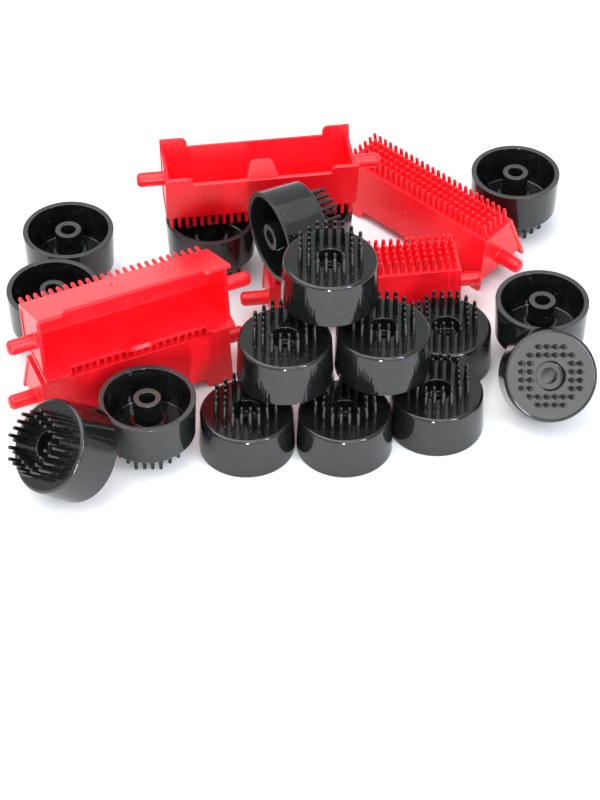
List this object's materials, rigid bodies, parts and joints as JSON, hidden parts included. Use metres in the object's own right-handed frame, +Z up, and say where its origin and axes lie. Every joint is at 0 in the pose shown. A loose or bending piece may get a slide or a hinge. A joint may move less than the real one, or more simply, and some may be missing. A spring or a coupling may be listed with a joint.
{
  "type": "golf washer brush set",
  "caption": "Heap of loose moulded washer brushes: black round bristle cups with a spindle bore, and red winged bar brushes with nubs, ears, a lug and end pins.",
  "frame": {"origin": "centre of the spindle bore of the front middle round brush, in the plane of its open rim, which is the floor the heap stands on", "axes": "+Z up out of the floor along that bore, towards its bristles; +X to the right of the heap as seen from its front; +Y towards the back of the heap"},
  "size_m": [0.3109, 0.2822, 0.1088],
  "materials": {
    "black_plastic": "gloss",
    "red_plastic": "semi-gloss"
  },
  "bodies": {
    "round_front_middle": {"round_brush_front_middle": "black_plastic"},
    "round_front_left": {"round_brush_front_left": "black_plastic"},
    "round_front_right": {"round_brush_front_right": "black_plastic"},
    "round_second_left": {"round_brush_second_left": "black_plastic"},
    "round_second_right": {"round_brush_second_right": "black_plastic"},
    "round_top": {"round_brush_top": "black_plastic"},
    "round_middle_right": {"round_brush_middle_right": "black_plastic"},
    "round_leaning_right": {"round_brush_leaning_right": "black_plastic"},
    "round_upturned_right": {"round_brush_upturned_right": "black_plastic"},
    "round_upturned_front": {"round_brush_upturned_front": "black_plastic"},
    "round_leaning_left": {"round_brush_leaning_left": "black_plastic"},
    "round_upturned_left": {"round_brush_upturned_left": "black_plastic"},
    "round_upturned_back_left": {"round_brush_upturned_back_left": "black_plastic"},
    "round_upturned_back_right": {"round_brush_upturned_back_right": "black_plastic"},
    "round_on_side": {"round_brush_on_side": "black_plastic"},
    "round_carrier_left": {"round_brush_carrier_left": "black_plastic"},
    "round_carrier_right": {"round_brush_carrier_right": "black_plastic"},
    "bar_middle": {"bar_brush_middle": "red_plastic"},
    "bar_left": {"bar_brush_left": "red_plastic"},
    "bar_on_side": {"bar_brush_on_side": "red_plastic"},
    "bar_back": {"bar_brush_back": "red_plastic"},
    "bar_across": {"bar_brush_across": "red_plastic"}
  },
  "joints": [
    {"name": "lift_round_front_left", "type": "slide", "parent": "round_front_middle", "child": "round_front_left", "axis": [0, 0, 1], "range_m": [0, 0.07]},
    {"name": "lift_round_front_right", "type": "slide", "parent": "round_front_left", "child": "round_front_right", "axis": [0, 0, 1], "range_m": [0, 0.07]},
    {"name": "lift_round_second_left", "type": "slide", "parent": "round_front_right", "child": "round_second_left", "axis": [0, 0, 1], "range_m": [0, 0.07]},
    {"name": "lift_round_second_right", "type": "slide", "parent": "round_second_left", "child": "round_second_right", "axis": [0, 0, 1], "range_m": [0, 0.07]},
    {"name": "lift_round_top", "type": "slide", "parent": "round_second_right", "child": "round_top", "axis": [0, 0, 1], "range_m": [0, 0.07]},
    {"name": "lift_round_middle_right", "type": "slide", "parent": "round_front_middle", "child": "round_middle_right", "axis": [0, 0, 1], "range_m": [0, 0.07]},
    {"name": "lift_round_leaning_right", "type": "slide", "parent": "round_upturned_right", "child": "round_leaning_right", "axis": [0, 0, 1], "range_m": [0, 0.07]},
    {"name": "lift_round_upturned_right", "type": "slide", "parent": "round_front_middle", "child": "round_upturned_right", "axis": [0, 0, 1], "range_m": [0, 0.07]},
    {"name": "lift_round_upturned_front", "type": "slide", "parent": "round_front_middle", "child": "round_upturned_front", "axis": [-0.25, -0.433, 0.866], "range_m": [0, 0.07]},
    {"name": "lift_round_leaning_left", "type": "slide", "parent": "round_upturned_front", "child": "round_leaning_left", "axis": [0, 0, 1], "range_m": [0, 0.07]},
    {"name": "lift_round_upturned_left", "type": "slide", "parent": "round_front_middle", "child": "round_upturned_left", "axis": [0, 0, 1], "range_m": [0, 0.07]},
    {"name": "lift_round_upturned_back_left", "type": "slide", "parent": "round_front_middle", "child": "round_upturned_back_left", "axis": [0, 0, 1], "range_m": [0, 0.07]},
    {"name": "lift_round_upturned_back_right", "type": "slide", "parent": "bar_across", "child": "round_upturned_back_right", "axis": [0, 0, 1], "range_m": [0, 0.07]},
    {"name": "lift_round_on_side", "type": "slide", "parent": "bar_middle", "child": "round_on_side", "axis": [0, 0, 1], "range_m": [0, 0.07]},
    {"name": "lift_round_carrier_left", "type": "slide", "parent": "round_front_middle", "child": "round_carrier_left", "axis": [0, 0, 1], "range_m": [0, 0.07]},
    {"name": "lift_round_carrier_right", "type": "slide", "parent": "round_carrier_left", "child": "round_carrier_right", "axis": [0, 0, 1], "range_m": [0, 0.07]},
    {"name": "lift_bar_middle", "type": "slide", "parent": "round_front_middle", "child": "bar_middle", "axis": [0, 0, 1], "range_m": [0, 0.07]},
    {"name": "lift_bar_left", "type": "slide", "parent": "round_front_middle", "child": "bar_left", "axis": [0, 0, 1], "range_m": [0, 0.07]},
    {"name": "lift_bar_on_side", "type": "slide", "parent": "bar_left", "child": "bar_on_side", "axis": [0, 0, 1], "range_m": [0, 0.07]},
    {"name": "lift_bar_back", "type": "slide", "parent": "round_carrier_right", "child": "bar_back", "axis": [0, 0, 1], "range_m": [0, 0.07]},
    {"name": "lift_bar_across", "type": "slide", "parent": "round_front_middle", "child": "bar_across", "axis": [0, 0, 1], "range_m": [0, 0.07]}
  ]
}
